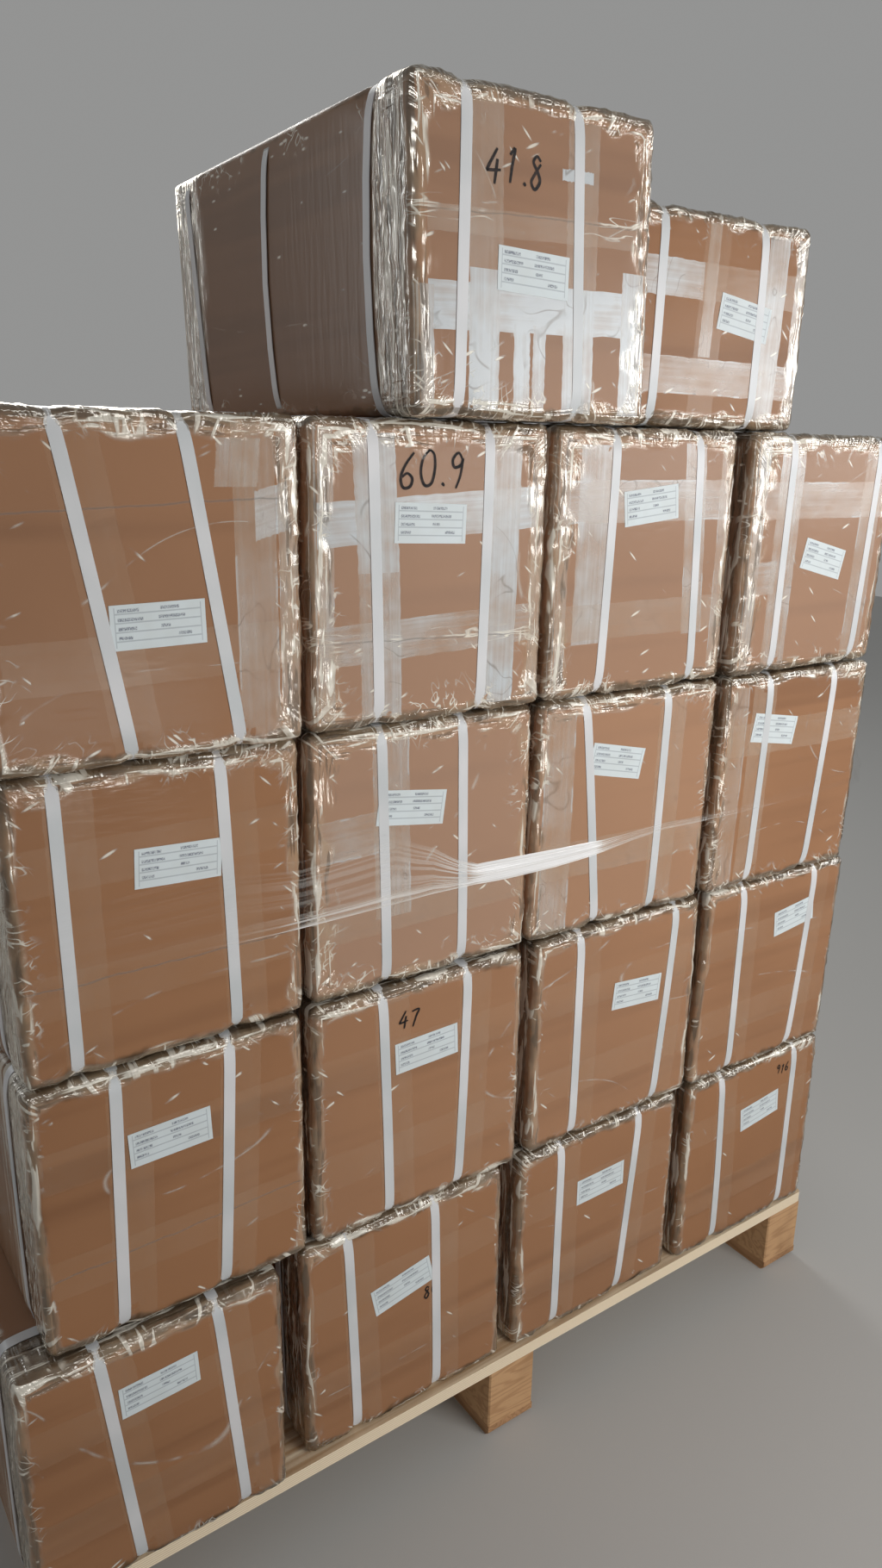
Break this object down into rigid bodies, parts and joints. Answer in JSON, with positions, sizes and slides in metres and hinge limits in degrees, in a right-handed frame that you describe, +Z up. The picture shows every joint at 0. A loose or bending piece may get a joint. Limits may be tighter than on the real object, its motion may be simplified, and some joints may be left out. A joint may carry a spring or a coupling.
{
  "type": "shrink wrapped pallet load",
  "caption": "Wooden pallet stacked with shrink wrapped cardboard cartons, each bound with plastic straps, and a few odd cartons on top.",
  "frame": {"origin": "middle of the pallet's footprint, on the floor", "axes": "+Z up, +X to the right along the pallet's long side, and the labelled front faces -Y"},
  "size_m": [1.2232, 1.1342, 1.58],
  "materials": {
    "deck_plywood": "sawn",
    "block_pine": "sawn",
    "board_pine": "sawn",
    "carton_board": "under clear film",
    "strap_plastic": "satin",
    "label_paper": "matt",
    "clear_film": "clear and crinkled"
  },
  "bodies": {
    "root": {"deck_panel": "deck_plywood", "block_left_front": "block_pine", "block_left_middle": "block_pine", "block_left_back": "block_pine", "block_middle_front": "block_pine", "block_middle_middle": "block_pine", "block_middle_back": "block_pine", "block_right_front": "block_pine", "block_right_middle": "block_pine", "block_right_back": "block_pine", "bottom_board_left": "board_pine", "bottom_board_middle": "board_pine", "bottom_board_right": "board_pine", "cartons_layer_1": "carton_board", "long_straps_layer_1": "strap_plastic", "girth_straps_layer_1": "strap_plastic", "labels_layer_1": "label_paper", "cartons_layer_2": "carton_board", "long_straps_layer_2": "strap_plastic", "girth_straps_layer_2": "strap_plastic", "labels_layer_2": "label_paper", "cartons_layer_3": "carton_board", "long_straps_layer_3": "strap_plastic", "girth_straps_layer_3": "strap_plastic", "labels_layer_3": "label_paper", "cartons_layer_4": "carton_board", "long_straps_layer_4": "strap_plastic", "girth_straps_layer_4": "strap_plastic", "labels_layer_4": "label_paper", "top_carton_tall": "carton_board", "top_carton_low": "carton_board", "long_straps_top": "strap_plastic", "girth_straps_top": "strap_plastic", "labels_top": "label_paper", "stretch_film_band": "clear_film"}
  },
  "joints": []
}
